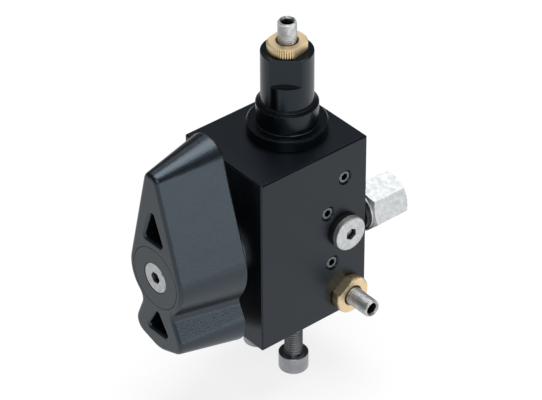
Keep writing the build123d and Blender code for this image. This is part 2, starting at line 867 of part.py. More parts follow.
def to_side_port(shape):
    """Turns a shape with its axis on Z to the side port, height 0 on the block's side."""
    return Pos(side_face, service_gallery_depth, 0) * Rot(0, 90, 0) * shape


def port_plug():
    """The socket plug that closes the side port."""
    head_top = port_plug_seal_height + port_plug_head_height
    plug = along_z(0, 0, port_plug_seal_height, head_top, port_plug_head_radius)
    plug = chamfer(plug.edges(), port_plug_edge)
    plug += along_z(0, 0, -port_plug_thread_length, port_plug_seal_height, port_thread_radius)
    plug -= Pos(0, 0, head_top) * hex_socket(port_plug_flats, port_plug_socket)
    return to_side_port(plug)


def bonded_seal(outer_radius, height):
    """A sealing washer standing on height 0: a rubber lip bonded inside a metal ring."""
    lip_radius = port_thread_radius + bonded_lip_width
    washer = Cylinder(outer_radius, height) - Cylinder(lip_radius, height)
    lip_height = height - 2 * bonded_lip_step
    washer += Cylinder(lip_radius, lip_height) - Cylinder(port_thread_radius + thread_gap, lip_height)
    return Pos(0, 0, height / 2) * washer


def port_plug_seal():
    """The sealing washer under the side port's plug."""
    return to_side_port(bonded_seal(port_plug_seal_radius, port_plug_seal_height))


def to_hose_port(shape):
    """Turns a shape with its axis on Z to the hose port, height 0 on the block's back."""
    return Pos(adaptor_x, block_depth, adaptor_height) * Rot(-90, 0, 0) * shape


def hose_adaptor():
    """The hexagon adaptor in the back port, with the hose's tapped hole at its far end."""
    shoulder = adaptor_seal_height + adaptor_face_height
    far_end = shoulder + adaptor_length
    turn = Rot(0, 0, -adaptor_turn)
    hexagon = extrude(turn * RegularPolygon(adaptor_flats / 2, 6, major_radius=False), adaptor_length)
    adaptor = (Pos(0, 0, shoulder) * hexagon) & adaptor_envelope(shoulder, far_end)
    adaptor += along_z(0, 0, adaptor_seal_height, shoulder, adaptor_face_radius)
    adaptor += along_z(0, 0, -adaptor_thread_length, adaptor_seal_height, port_thread_radius)
    adaptor -= along_z(0, 0, -adaptor_thread_length, far_end, adaptor_throat_radius)
    adaptor -= along_z(0, 0, far_end - adaptor_port_depth, far_end, adaptor_port_radius)
    bevel = adaptor_mouth_bevel
    mouth = Cone(adaptor_port_radius, adaptor_port_radius + bevel, bevel)
    mouth = Pos(0, 0, far_end - bevel / 2) * mouth
    return to_hose_port(adaptor - mouth)


def adaptor_envelope(start, end):
    """The turned form that bevels the corners of the adaptor's hexagon at both ends."""
    corner = adaptor_flats / 2 / cos(pi / 6)
    face = adaptor_flats / 2 - adaptor_face_step
    drop = (corner - face) * tan(radians(adaptor_chamfer_angle))
    lower = ((0, start), (face, start), (corner, start + drop))
    upper = ((corner, end - drop), (face, end), (0, end))
    return turned(*lower, *upper)


def adaptor_seal():
    """The sealing washer under the hose adaptor."""
    return to_hose_port(bonded_seal(adaptor_seal_radius, adaptor_seal_height))


def to_inlet(shape, height):
    """Stands a shape on the inlet's axis at a height."""
    return Pos(0, inlet_depth, height) * shape


def check_valve_seat():
    """The screwed seat of the inlet's check valve, with a key hole from below."""
    seat = along_z(0, 0, 0, check_seat_height, check_seat_radius)
    seat -= along_z(0, 0, 0, check_seat_height, check_throat_radius)
    seat -= Rot(180, 0, 0) * hex_socket(check_seat_flats, check_seat_height / 2)
    return to_inlet(seat, bottom_face + check_seat_recess)


def check_poppet():
    """The check valve's hollow poppet with its two flow holes."""
    poppet, top = cone_poppet(check_cone_radius, check_cone_height, check_throat_radius)
    end = top + check_poppet_height
    poppet += along_z(0, 0, top, end, check_poppet_radius)
    poppet -= along_z(0, 0, top + check_floor, end, check_cup_radius)
    hole_height = top + check_floor + check_hole_radius
    poppet -= along_x(0, hole_height, -check_bore_radius, check_bore_radius, check_hole_radius)
    return to_inlet(poppet, check_seat_level())


def check_seat_level():
    """The height of the check valve's seat."""
    return bottom_face + check_seat_recess + check_seat_height


def check_spring():
    """The check valve's light spring, inside its poppet."""
    cone_top = cone_poppet(check_cone_radius, check_cone_height, check_throat_radius)[1]
    start = check_seat_level() + cone_top + check_floor
    length = bottom_face + check_bore_end - start
    return to_inlet(coil(check_spring_radius, check_spring_wire, length, check_spring_turns), start)


def face_seals():
    """The two seal rings that stand proud of the bottom face."""
    level = bottom_face + face_seal_recess - face_seal_section
    rings = [Pos(x, y, level) * ring(radius, face_seal_section) for x, y, radius in face_seal_places()]
    return Compound(children=rings)


def fixing_screws():
    """The two socket screws that come up into the block from below."""
    head_top = bottom_face - fixing_screw_stand
    head_bottom = head_top - fixing_head_height
    head = along_z(0, 0, head_bottom, head_top, fixing_head_radius)
    head = chamfer(head.edges().sort_by(Axis.Z)[0], fixing_head_edge)
    screw = head + along_z(0, 0, head_top, bottom_face + fixing_screw_reach, fixing_screw_radius)
    screw -= Pos(0, 0, head_bottom) * Rot(180, 0, 0) * hex_socket(fixing_head_flats, fixing_head_socket)
    places = (-fixing_screw_x, fixing_screw_x)
    return Compound(children=[Pos(x, fixing_screw_depth, 0) * screw for x in places])


nodes = {
    "valve_block": block,
    "handle": handle,
    "hub_cap": hub_cap,
    "handle_screw": handle_screw,
    "selector_spindle": selector_spindle,
    "rotor_seals": rotor_seals,
    "spindle_gland": spindle_gland,
    "gland_seal": gland_seal,
    "stop_pin": stop_pin,
    "relief_base_ring": relief_base_ring,
    "relief_base_seal": relief_base_seal,
    "relief_collar": relief_collar,
    "relief_barrel": relief_barrel,
    "relief_valve_seat": relief_valve_seat,
    "relief_poppet": relief_poppet,
    "relief_spring": relief_spring,
    "relief_spring_seat": relief_spring_seat,
    "spring_seat_seal": spring_seat_seal,
    "relief_adjusting_screw": relief_adjusting_screw,
    "relief_lock_nut": relief_lock_nut,
    "throttle_needle": throttle_needle,
    "needle_seal": needle_seal,
    "throttle_adjusting_screw": throttle_adjusting_screw,
    "throttle_lock_nut": throttle_lock_nut,
    "gallery_plugs": gallery_plugs,
    "port_plug": port_plug,
    "port_plug_seal": port_plug_seal,
    "hose_adaptor": hose_adaptor,
    "adaptor_seal": adaptor_seal,
    "check_valve_seat": check_valve_seat,
    "check_poppet": check_poppet,
    "check_spring": check_spring,
    "face_seals": face_seals,
    "fixing_screws": fixing_screws,
}


def main():
    """Writes one file for each piece."""
    os.makedirs("parts", exist_ok=True)
    for name, make in nodes.items():
        export_step(make(), f"parts/{name}.step")


if __name__ == "__main__":
    main()
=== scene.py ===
"""Hydraulic panel valve, dressed for the camera: threads, fluted nuts, springs and every finish.

Metres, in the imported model's frame. +X is the throttle's side, +Y the back and +Z up.
"""

import json
from math import atan2, cos, hypot, pi, radians, sin, tau

import bmesh
import bpy
from mathutils import Matrix, Vector

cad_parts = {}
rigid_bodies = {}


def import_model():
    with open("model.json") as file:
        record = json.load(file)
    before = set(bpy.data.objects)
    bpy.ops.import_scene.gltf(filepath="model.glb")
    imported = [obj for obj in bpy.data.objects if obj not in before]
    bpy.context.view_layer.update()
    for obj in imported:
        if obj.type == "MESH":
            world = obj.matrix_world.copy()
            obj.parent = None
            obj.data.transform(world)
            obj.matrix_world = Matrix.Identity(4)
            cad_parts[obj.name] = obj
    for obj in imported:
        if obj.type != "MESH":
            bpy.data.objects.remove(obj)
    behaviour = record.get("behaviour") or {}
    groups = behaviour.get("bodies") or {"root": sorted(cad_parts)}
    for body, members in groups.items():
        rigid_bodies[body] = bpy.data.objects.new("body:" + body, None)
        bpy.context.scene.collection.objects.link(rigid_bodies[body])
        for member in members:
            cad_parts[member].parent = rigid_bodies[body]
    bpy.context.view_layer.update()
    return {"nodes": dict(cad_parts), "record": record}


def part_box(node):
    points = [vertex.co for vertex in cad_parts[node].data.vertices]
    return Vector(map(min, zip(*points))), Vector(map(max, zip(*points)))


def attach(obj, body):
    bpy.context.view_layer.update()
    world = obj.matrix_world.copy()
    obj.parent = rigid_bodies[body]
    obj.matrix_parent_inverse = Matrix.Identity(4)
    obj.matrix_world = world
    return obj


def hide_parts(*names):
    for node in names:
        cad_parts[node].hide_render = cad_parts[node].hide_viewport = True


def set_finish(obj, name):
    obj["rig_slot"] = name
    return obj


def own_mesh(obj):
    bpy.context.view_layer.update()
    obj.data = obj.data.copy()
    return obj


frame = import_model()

MM = 0.001

# The camera, found from the block's edges in the photograph
CAMERA_AZIMUTH = radians(50.31)
CAMERA_ELEVATION = radians(36.17)
CAMERA_ROLL = radians(-0.29)
CAMERA_PLACE = (0.7798, -0.6216, 0.7513)
CAMERA_LENS = 199.3
CAMERA_FILM_WIDTH = 36.0
CAMERA_RANGE = (0.05, 20.0)

# Soft boxes: the direction they shine from, then distance, width, height and power
SOFT_BOXES = {
    "softbox_top": ((-0.12, 0.2, 1.0), 0.95, 0.85, 0.85, 9.0),
    "softbox_front": ((0.62, -0.52, 0.62), 1.7, 1.0, 0.8, 8.0),
    "softbox_right": ((1.0, 0.18, 0.05), 1.1, 1.8, 0.3, 4.3),
}
WORLD_STRENGTH = 0.09

# The floor, level with the lowest of the screws' heads. It glows by FLOOR_SEEN for the camera. In
# reflections it glows by the two values of FLOOR_MIRRORED, left and right of the X of FLOOR_CHANGE
# The lower glow in reflections, on the left, is painted shade in what the valve reflects.
FLOOR_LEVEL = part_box("fixing_screws")[0].z
FLOOR_HALF_WIDTH = 6.0
FLOOR_GREY = 0.25
FLOOR_ROUGHNESS = 0.9
FLOOR_SEEN = 0.8
FLOOR_MIRRORED = (0.56, 0.8)
FLOOR_CHANGE = (-0.05, 0.05)

# Adjusting screws, in millimetres. The tip is the bevel at the socket's end
ADJUSTER_RADIUS = 4.0
ADJUSTER_PITCH = 1.0
ADJUSTER_THREAD_DEPTH = 0.22
ADJUSTER_MOUTH_RADIUS = 3.25
ADJUSTER_SOCKET_FLATS = 5.0
ADJUSTER_SOCKET_DEPTH = 5.0
ADJUSTER_TIP = 0.5

# Fixing screws, in millimetres. The edge below the head and the socket's mouth are shares, of the
# head's edge and of half the socket's flats
FIXING_RADIUS = 4.0
FIXING_PITCH = 1.25
FIXING_THREAD_DEPTH = 0.7
FIXING_HEAD_RADIUS = 6.5
FIXING_HEAD_HEIGHT = 8.0
FIXING_HEAD_EDGE = 0.55
FIXING_HEAD_EDGE_STEPS = 4
FIXING_LOWER_EDGE_SHARE = 0.3
FIXING_SOCKET_FLATS = 6.0
FIXING_SOCKET_DEPTH = 4.0
FIXING_MOUTH_SHARE = 1.16
FIXING_X = 12.0

# Every thread: where along a pitch its root, crest, crest and root are, and how far inside the
# root the bevel at its end starts, in millimetres
THREAD_SHARES = (0.0, 0.40, 0.55, 0.95)
THREAD_BEVEL_INSET = 0.2
THREAD_SPARE_TURNS = 3
TURN_STEPS = 48
KEY_HOLE_LEAST_BEVEL = 0.15

# Lock nuts, in millimetres and degrees. The top's edge lies in by a share of NUT_EDGE
NUT_RADIUS = 8.5
NUT_HEIGHT = 4.4
NUT_FLATS = 14.0
NUT_BORE = 4.05
NUT_MOUTH = 4.9
NUT_EDGE = 0.5
NUT_TOP_EDGE_SHARE = 1.2
NUT_FLUTES = 52
NUT_FLUTE_DEPTH = 0.55
NUT_FLUTE_STEPS = 6
NUT_FLUTE_ROUNDNESS = 0.8
RELIEF_NUT_FLATS_ANGLE = 11.0
THROTTLE_NUT_FLATS_ANGLE = 36.0

# Bead at the collar's foot, in millimetres
BEAD_RADIUS = 0.32
BEAD_STEPS = 10

# Travel of what the springs stand against, in millimetres
CONE_LIFT = 1.5
PLUNGER_SLIDE = 3.49

# Distances at which points count as one, in metres, and the last ring round a closed end's point
TOUCH = 1e-7
THREAD_TOUCH = 2e-6
LEVEL_TOUCH = 1e-6
SLIVER = 1e-8
POINT_RADIUS = 1e-8

SMOOTH_BELOW = radians(32)


# Shapes


def ring_step(bm, edges, place):
    """Extrudes an edge loop about Z, each new corner going to place(angle) = (radius, height)."""
    grown = bmesh.ops.extrude_edge_only(bm, edges=edges)["geom"]
    for corner in (part for part in grown if isinstance(part, bmesh.types.BMVert)):
        angle = atan2(corner.co.y, corner.co.x)
        radius, height = place(angle)
        corner.co = (radius * cos(angle), radius * sin(angle), height)
    return [part for part in grown if isinstance(part, bmesh.types.BMEdge)]


def open_edges(bm):
    """The edges with a face on one side only."""
    return [edge for edge in bm.edges if edge.is_boundary]


def level_edges(bm, height):
    """The open edges that lie at one height."""
    def level(corner):
        return abs(corner.co.z - height) < LEVEL_TOUCH
    return [edge for edge in open_edges(bm) if all(level(corner) for corner in edge.verts)]


def cut_off(bm, point, outward):
    """Takes away what lies beyond a plane."""
    everything = bm.verts[:] + bm.edges[:] + bm.faces[:]
    plane = {"plane_co": point, "plane_no": outward}
    bmesh.ops.bisect_plane(bm, geom=everything, dist=TOUCH, clear_outer=True, **plane)


def hexagon_radius(flats, angle):
    """How far a hexagon's side is from its axis at an angle."""
    return flats / 2 / cos((angle + pi / 6) % (pi / 3) - pi / 6)


def close_end(bm, edges, height):
    """Closes an edge loop with one point on the axis."""
    tip = ring_step(bm, edges, lambda angle: (POINT_RADIUS, height))
    corners = list(dict.fromkeys(corner for edge in tip for corner in edge.verts))
    bmesh.ops.pointmerge(bm, verts=corners, merge_co=(0, 0, height))


def key_hole(bm, edges, top, flats, depth, mouth):
    """A hexagon key hole below a flat end, with a turned mouth and a drilled point."""
    bevel = max(mouth - flats / 2, KEY_HOLE_LEAST_BEVEL * MM)
    loop = ring_step(bm, edges, lambda angle: (max(mouth, hexagon_radius(flats, angle)), top))
    loop = ring_step(bm, loop, lambda angle: (hexagon_radius(flats, angle), top - bevel))
    loop = ring_step(bm, loop, lambda angle: (hexagon_radius(flats, angle), top - depth))
    close_end(bm, loop, top - depth - flats / 4)


def thread(bm, start, end, radius, pitch, depth):
    """A screw thread about Z between two heights, with a bevel at its lower end."""
    root = radius - depth
    points = []
    for turn in range(int((end - start) / pitch) + THREAD_SPARE_TURNS):
        for reach, share in zip((root, radius, radius, root), THREAD_SHARES):
            points.append(bm.verts.new((reach, 0, start + (turn - 1 + share) * pitch)))
    outline = points + [bm.edges.new(pair) for pair in zip(points, points[1:])]
    turned = {"cent": (0, 0, 0), "axis": (0, 0, 1), "dvec": (0, 0, pitch / TURN_STEPS)}
    bmesh.ops.spin(bm, geom=outline, angle=tau, steps=TURN_STEPS, **turned)
    bmesh.ops.remove_doubles(bm, verts=bm.verts, dist=THREAD_TOUCH)
    cut_off(bm, (0, 0, start), (0, 0, -1))
    cut_off(bm, (0, 0, end), (0, 0, 1))
    for corner in bm.verts:
        reach = hypot(corner.co.x, corner.co.y)
        allowed = root - THREAD_BEVEL_INSET * MM + (corner.co.z - start)
        if reach > allowed:
            corner.co.x *= allowed / reach
            corner.co.y *= allowed / reach
    close_end(bm, level_edges(bm, start), start)


def finished(bm):
    """Joins what meets and turns every face outwards."""
    bmesh.ops.remove_doubles(bm, verts=bm.verts, dist=TOUCH)
    bmesh.ops.dissolve_degenerate(bm, dist=SLIVER, edges=bm.edges)
    bmesh.ops.recalc_face_normals(bm, faces=bm.faces)


def adjusting_screw(bm, start, end):
    """A headless socket screw about Z, threaded all along, with its key hole at the top."""
    root = ADJUSTER_RADIUS * MM - ADJUSTER_THREAD_DEPTH * MM
    tip = ADJUSTER_TIP * MM
    size = (ADJUSTER_RADIUS * MM, ADJUSTER_PITCH * MM, ADJUSTER_THREAD_DEPTH * MM)
    thread(bm, start, end - tip, *size)
    loop = ring_step(bm, level_edges(bm, end - tip), lambda angle: (root, end - tip))
    loop = ring_step(bm, loop, lambda angle: (root - tip / 2, end))
    socket = (ADJUSTER_SOCKET_FLATS * MM, ADJUSTER_SOCKET_DEPTH * MM, ADJUSTER_MOUTH_RADIUS * MM)
    key_hole(bm, loop, end, *socket)
    finished(bm)


def cap_screw(bm, length):
    """A socket cap screw about Z, its head standing on height 0 and its thread below."""
    root = (FIXING_RADIUS - FIXING_THREAD_DEPTH) * MM
    head, high = FIXING_HEAD_RADIUS * MM, FIXING_HEAD_HEIGHT * MM
    edge = FIXING_HEAD_EDGE * MM
    lower_edge = FIXING_LOWER_EDGE_SHARE * edge
    thread(bm, -length, 0, FIXING_RADIUS * MM, FIXING_PITCH * MM, FIXING_THREAD_DEPTH * MM)
    profile = [(root, 0), (head - lower_edge, 0), (head, lower_edge), (head, high - edge)]
    for step in range(1, FIXING_HEAD_EDGE_STEPS + 1):
        bend = step / FIXING_HEAD_EDGE_STEPS * pi / 2
        profile.append((head - edge * (1 - cos(bend)), high - edge * (1 - sin(bend))))
    loop = level_edges(bm, 0)
    for radius, height in profile:
        loop = ring_step(bm, loop, lambda angle: (radius, height))
    flats = FIXING_SOCKET_FLATS * MM
    key_hole(bm, loop, high, flats, FIXING_SOCKET_DEPTH * MM, FIXING_MOUTH_SHARE * flats / 2)
    finished(bm)


def flute(angle, radius):
    """The radius of a fluted rim at an angle: flat ridges with round grooves between them."""
    phase = (angle / tau * NUT_FLUTES) % 1
    groove = max(0.0, cos(tau * phase)) ** NUT_FLUTE_ROUNDNESS
    return radius - NUT_FLUTE_DEPTH * MM * groove


def lock_nut(bm, flats_angle):
    """A round lock nut on height 0, fluted round its rim, with two flats and a bevelled mouth."""
    rim, high, edge = NUT_RADIUS * MM, NUT_HEIGHT * MM, NUT_EDGE * MM
    bore, mouth = NUT_BORE * MM, NUT_MOUTH * MM
    bmesh.ops.create_circle(bm, segments=NUT_FLUTES * NUT_FLUTE_STEPS, radius=rim - edge)
    loop = ring_step(bm, bm.edges[:], lambda angle: (flute(angle, rim), edge))
    loop = ring_step(bm, loop, lambda angle: (flute(angle, rim), high - edge))
    loop = ring_step(bm, loop, lambda angle: (rim - NUT_TOP_EDGE_SHARE * edge, high))
    loop = ring_step(bm, loop, lambda angle: (mouth, high))
    loop = ring_step(bm, loop, lambda angle: (bore, high - (mouth - bore)))
    loop = ring_step(bm, loop, lambda angle: (bore, 0))
    ring_step(bm, loop, lambda angle: (rim - edge, 0))
    bmesh.ops.remove_doubles(bm, verts=bm.verts, dist=TOUCH)
    for turn in (0, pi):
        toward = radians(flats_angle) + turn
        across = Vector((cos(toward), sin(toward), 0))
        cut_off(bm, across * NUT_FLATS / 2 * MM, across)
        bmesh.ops.holes_fill(bm, edges=open_edges(bm))
    finished(bm)


def piece(name, bm, place, body, slot, replaced):
    """Makes one object of a mesh at its place, riding on a body, in place of any nodes named."""
    bmesh.ops.transform(bm, matrix=place, verts=bm.verts)
    mesh = bpy.data.meshes.new(name)
    bm.to_mesh(mesh)
    bm.free()
    obj = bpy.data.objects.new(name, mesh)
    bpy.context.scene.collection.objects.link(obj)
    for polygon in mesh.polygons:
        polygon.use_smooth = True
    mesh.set_sharp_from_angle(angle=SMOOTH_BELOW)
    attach(obj, body)
    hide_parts(*replaced)
    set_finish(obj, slot)
    return obj


def centre(node):
    """The middle of a CAD node's box."""
    low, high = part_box(node)
    return (low + high) / 2


def along_z(node):
    """Puts a shape about Z on a node's upright axis, keeping its heights."""
    middle = centre(node)
    return Matrix.Translation((middle.x, middle.y, 0))


def along_x(node):
    """Turns a shape about Z to lie along X on a node's axis, heights becoming X."""
    middle = centre(node)
    return Matrix.Translation((0, middle.y, middle.z)) @ Matrix.Rotation(pi / 2, 4, "Y")


def make_adjusting_screws():
    """The threaded adjusting screws, on an axis along Z (2) and one along X (0)."""
    for name, along, axis in (("relief", along_z, 2), ("throttle", along_x, 0)):
        node = f"{name}_adjusting_screw"
        low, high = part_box(node)
        bm = bmesh.new()
        adjusting_screw(bm, low[axis], high[axis])
        piece(f"{name}_screw_threaded", bm, along(node), f"{name}_screw", "screw_steel", [node])


def make_fixing_screws():
    """The two cap screws, heads down."""
    low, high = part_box("fixing_screws")
    under_head = low.z + FIXING_HEAD_HEIGHT * MM
    depth = (low.y + high.y) / 2
    for side, x, replaced in (("left", -FIXING_X, ["fixing_screws"]), ("right", FIXING_X, [])):
        bm = bmesh.new()
        cap_screw(bm, high.z - under_head)
        place = Matrix.Translation((x * MM, depth, under_head)) @ Matrix.Rotation(pi, 4, "X")
        piece(f"fixing_screw_{side}", bm, place, "valve_body", "stainless_steel", replaced)


def make_lock_nuts():
    """The fluted nuts on the adjusting screws, on the same two axes."""
    relief = ("relief", along_z, 2, RELIEF_NUT_FLATS_ANGLE)
    throttle = ("throttle", along_x, 0, THROTTLE_NUT_FLATS_ANGLE)
    for name, along, axis, flats_angle in (relief, throttle):
        node = f"{name}_lock_nut"
        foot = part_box(node)[0][axis]
        bm = bmesh.new()
        lock_nut(bm, flats_angle)
        place = along(f"{name}_adjusting_screw") @ Matrix.Translation((0, 0, foot))
        piece(f"{name}_nut_fluted", bm, place, f"{name}_nut", "brass", [node])


def make_collar_bead():
    """The fine round bead at the foot of the relief valve's collar."""
    low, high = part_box("relief_collar")
    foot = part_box("relief_base_ring")[1].z
    bm = bmesh.new()
    points = []
    for step in range(BEAD_STEPS):
        bend = tau * step / BEAD_STEPS
        reach = (high.x - low.x) / 2 + BEAD_RADIUS * MM * cos(bend)
        points.append(bm.verts.new((reach, 0, foot + BEAD_RADIUS * MM * sin(bend))))
    outline = points + [bm.edges.new(pair) for pair in zip(points, points[1:] + points[:1])]
    turned = {"cent": (0, 0, 0), "axis": (0, 0, 1), "angle": tau}
    bmesh.ops.spin(bm, geom=outline, steps=2 * TURN_STEPS, **turned)
    finished(bm)
    piece("relief_collar_bead", bm, along_z("relief_collar"), "valve_body", "black_steel", [])


def coils(name, node, start, end, joint, travel, still):
    """The part of a spring between two heights. The joint, travel and still end it is given are
    not used.
    """
    bm = bmesh.new()
    bm.from_mesh(frame["nodes"][node].data)
    bmesh.ops.remove_doubles(bm, verts=bm.verts, dist=TOUCH)
    for height, outward in ((start, -1), (end, 1)):
        cut_off(bm, (0, 0, height), (0, 0, outward))
        bmesh.ops.holes_fill(bm, edges=open_edges(bm))
    finished(bm)
    obj = piece(name, bm, Matrix.Identity(4), "valve_body", "spring_steel", [node])
    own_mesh(obj)


def make_springs():
    """The relief spring cut at its middle into two pieces, and the check spring as one piece."""
    low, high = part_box("relief_spring")
    foot, middle, top = low.z, (low.z + high.z) / 2, high.z
    lift, slide = CONE_LIFT * MM, PLUNGER_SLIDE * MM
    lower, upper = ("relief_cone_lift", lift, middle), ("relief_plunger_slide", slide, middle)
    coils("relief_spring_lower", "relief_spring", foot, middle, *lower)
    coils("relief_spring_upper", "relief_spring", middle, top, *upper)
    low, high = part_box("check_spring")
    whole = ("check_cone_lift", lift, high.z)
    coils("check_spring_coils", "check_spring", low.z, high.z, *whole)


# Finishes. A scale is in noise cells to a metre, and a mask changes between its span's two values

GRAIN_SPAN = (0.3, 0.7)
GRAIN_ROUGHNESS = 0.6
GRAIN_PATCH_SHARE = 0.12
# The edge mask makes edges paler: partly wear, partly a painted highlight.
WEAR_AND_HIGHLIGHT_WIDTH = 0.35
WEAR_AND_HIGHLIGHT_SAMPLES = 6
WEAR_AND_HIGHLIGHT_SPAN = (0.99, 0.90)
WEAR_AND_HIGHLIGHT_BREAK_SCALE = 900.0
WEAR_AND_HIGHLIGHT_BREAK_SPAN = (0.35, 0.6)
WEAR_AND_HIGHLIGHT_LEAST = 0.35
# The hole mask paints shade into holes and grooves.
CREVICE_SAMPLES = 8
CREVICE_BREAK_SCALE = 700.0
CREVICE_BREAK_DEPTH = 0.15
CREVICE_SPAN = (0.12, 0.52)

# How a finish varies, as shares of its colour or roughness
COATING_PATCH = 1.3
COATING_ROUGHNESS = (0.93, 1.07)
# Metals' edges brighten by this share: a painted highlight.
METAL_EDGE_HIGHLIGHT = 1.35
# Holes and grooves darken to this share of the colour: painted shade.
METAL_HOLE_SHADE = 0.03
METAL_ROUGHNESS = (1.15, 0.9)

VECTOR = "NodeSocketVector"
VALUE = "NodeSocketFloat"

# Dark finishes: gloss is the specular level and tint its colour. Grain depths are in metres
COOL = (0.70, 0.86, 1.0)
NEUTRAL = (1.0, 1.0, 1.0)
# Each coating's edge colour is partly wear and partly a painted highlight.
COATINGS = {
    "anodised_block": {
        "colour": (0.0020, 0.0030, 0.0050), "wear_and_highlight_colour": (0.040, 0.048, 0.056), "roughness": 0.32,
        "gloss": 0.42, "tint": COOL, "grain_scale": 5000.0, "grain_depth": 3e-6,
    },
    "moulded_black": {
        "colour": (0.0025, 0.0035, 0.0055), "wear_and_highlight_colour": (0.006, 0.008, 0.010), "roughness": 0.30,
        "gloss": 0.80, "tint": COOL, "grain_scale": 1500.0, "grain_depth": 4.5e-5,
    },
    "black_steel": {
        "colour": (0.0015, 0.0022, 0.0035), "wear_and_highlight_colour": (0.050, 0.056, 0.062), "roughness": 0.23,
        "gloss": 0.45, "tint": COOL, "grain_scale": 4000.0, "grain_depth": 2e-6,
    },
    "seal_rubber": {
        "colour": (0.0060, 0.0060, 0.0065), "wear_and_highlight_colour": (0.008, 0.008, 0.008), "roughness": 0.50,
        "gloss": 0.45, "tint": NEUTRAL, "grain_scale": 3000.0, "grain_depth": 1e-5,
    },
}

# Bare metals: mottle is how much darker the patches are, and hole_size, in millimetres, how wide
# the holes and grooves are that painted shade darkens
METALS = {
    "brass": {
        "colour": (0.86, 0.67, 0.42), "roughness": 0.42, "mottle": 0.10,
        "grain_scale": 2500.0, "grain_depth": 4e-6, "hole_size": 1.6,
    },
    "screw_steel": {
        "colour": (0.68, 0.70, 0.72), "roughness": 0.44, "mottle": 0.42,
        "grain_scale": 3800.0, "grain_depth": 1.5e-5, "hole_size": 6.0,
    },
    "plug_steel": {
        "colour": (0.17, 0.18, 0.19), "roughness": 0.26, "mottle": 0.30,
        "grain_scale": 1800.0, "grain_depth": 8e-6, "hole_size": 6.0,
    },
    "zinc_steel": {
        "colour": (0.66, 0.68, 0.69), "roughness": 0.50, "mottle": 0.22,
        "grain_scale": 4200.0, "grain_depth": 8e-6, "hole_size": 6.0,
    },
    "stainless_steel": {
        "colour": (0.38, 0.39, 0.41), "roughness": 0.31, "mottle": 0.20,
        "grain_scale": 2000.0, "grain_depth": 5e-6, "hole_size": 1.2,
    },
    "hardened_steel": {
        "colour": (0.50, 0.50, 0.52), "roughness": 0.30, "mottle": 0.15,
        "grain_scale": 2500.0, "grain_depth": 2e-6, "hole_size": 6.0,
    },
    "spring_steel": {
        "colour": (0.36, 0.36, 0.38), "roughness": 0.35, "mottle": 0.20,
        "grain_scale": 2500.0, "grain_depth": 3e-6, "hole_size": 2.0,
    },
}


def feed(tree, value, socket):
    """Gives a socket a number, a colour or what another socket puts out."""
    if isinstance(value, bpy.types.NodeSocket):
        tree.links.new(value, socket)
    elif isinstance(value, tuple):
        socket.default_value = (*value, 1)
    else:
        socket.default_value = value


def group(name, inputs, outputs):
    """An empty shader group with its sockets; returns the tree and its two end nodes."""
    tree = bpy.data.node_groups.new(name, "ShaderNodeTree")
    for side, sockets in (("INPUT", inputs), ("OUTPUT", outputs)):
        for label, kind in sockets.items():
            tree.interface.new_socket(label, in_out=side, socket_type=kind)
    return tree, tree.nodes.new("NodeGroupInput"), tree.nodes.new("NodeGroupOutput")


def math_node(tree, operation, *values):
    """A Math node fed by sockets or numbers; returns its result."""
    node = tree.nodes.new("ShaderNodeMath")
    node.operation = operation
    for socket, value in zip(node.inputs, values):
        feed(tree, value, socket)
    return node.outputs[0]


def noise(tree, place, scale, detail=2.0, roughness=0.5):
    """A Noise node on a place; returns its value."""
    node = tree.nodes.new("ShaderNodeTexNoise")
    feed(tree, place, node.inputs["Vector"])
    feed(tree, scale, node.inputs["Scale"])
    feed(tree, detail, node.inputs["Detail"])
    feed(tree, roughness, node.inputs["Roughness"])
    return node.outputs[0]


def ramp(tree, value, span, results):
    """A clamped Map Range from one pair of values to another; returns its result."""
    node = tree.nodes.new("ShaderNodeMapRange")
    labels = ("From Min", "From Max", "To Min", "To Max")
    for label, number in zip(labels, (*span, *results)):
        feed(tree, number, node.inputs[label])
    feed(tree, value, node.inputs["Value"])
    return node.outputs[0]


def make_grain():
    """Fine moulding or blasting grain: a height for bump and a mask of small patches."""
    outputs = {"Height": VALUE, "Mask": VALUE}
    tree, start, end = group("fine_grain", {"Vector": VECTOR, "Scale": VALUE}, outputs)
    place, scale = start.outputs["Vector"], start.outputs["Scale"]
    fine = noise(tree, place, scale, roughness=GRAIN_ROUGHNESS)
    wide = math_node(tree, "MULTIPLY", scale, GRAIN_PATCH_SHARE)
    patches = noise(tree, place, wide, detail=3.0, roughness=GRAIN_ROUGHNESS)
    feed(tree, ramp(tree, fine, GRAIN_SPAN, (0.0, 1.0)), end.inputs["Height"])
    feed(tree, ramp(tree, patches, GRAIN_SPAN, (0.0, 1.0)), end.inputs["Mask"])
    return tree


def make_wear_and_highlight_mask():
    """A mask that is 1 along sharp edges, broken up a little: for edge wear and painted highlight.
    """
    tree, start, end = group("wear_and_highlight_mask", {"Vector": VECTOR}, {"Mask": VALUE})
    bevel = tree.nodes.new("ShaderNodeBevel")
    bevel.samples = WEAR_AND_HIGHLIGHT_SAMPLES
    feed(tree, WEAR_AND_HIGHLIGHT_WIDTH * MM, bevel.inputs["Radius"])
    shape = tree.nodes.new("ShaderNodeNewGeometry")
    likeness = tree.nodes.new("ShaderNodeVectorMath")
    likeness.operation = "DOT_PRODUCT"
    feed(tree, bevel.outputs["Normal"], likeness.inputs[0])
    feed(tree, shape.outputs["Normal"], likeness.inputs[1])
    edge = ramp(tree, likeness.outputs["Value"], WEAR_AND_HIGHLIGHT_SPAN, (0.0, 1.0))
    uneven = noise(tree, start.outputs["Vector"], WEAR_AND_HIGHLIGHT_BREAK_SCALE)
    breaks = ramp(tree, uneven, WEAR_AND_HIGHLIGHT_BREAK_SPAN, (WEAR_AND_HIGHLIGHT_LEAST, 1.0))
    feed(tree, math_node(tree, "MULTIPLY", edge, breaks), end.inputs["Mask"])
    return tree


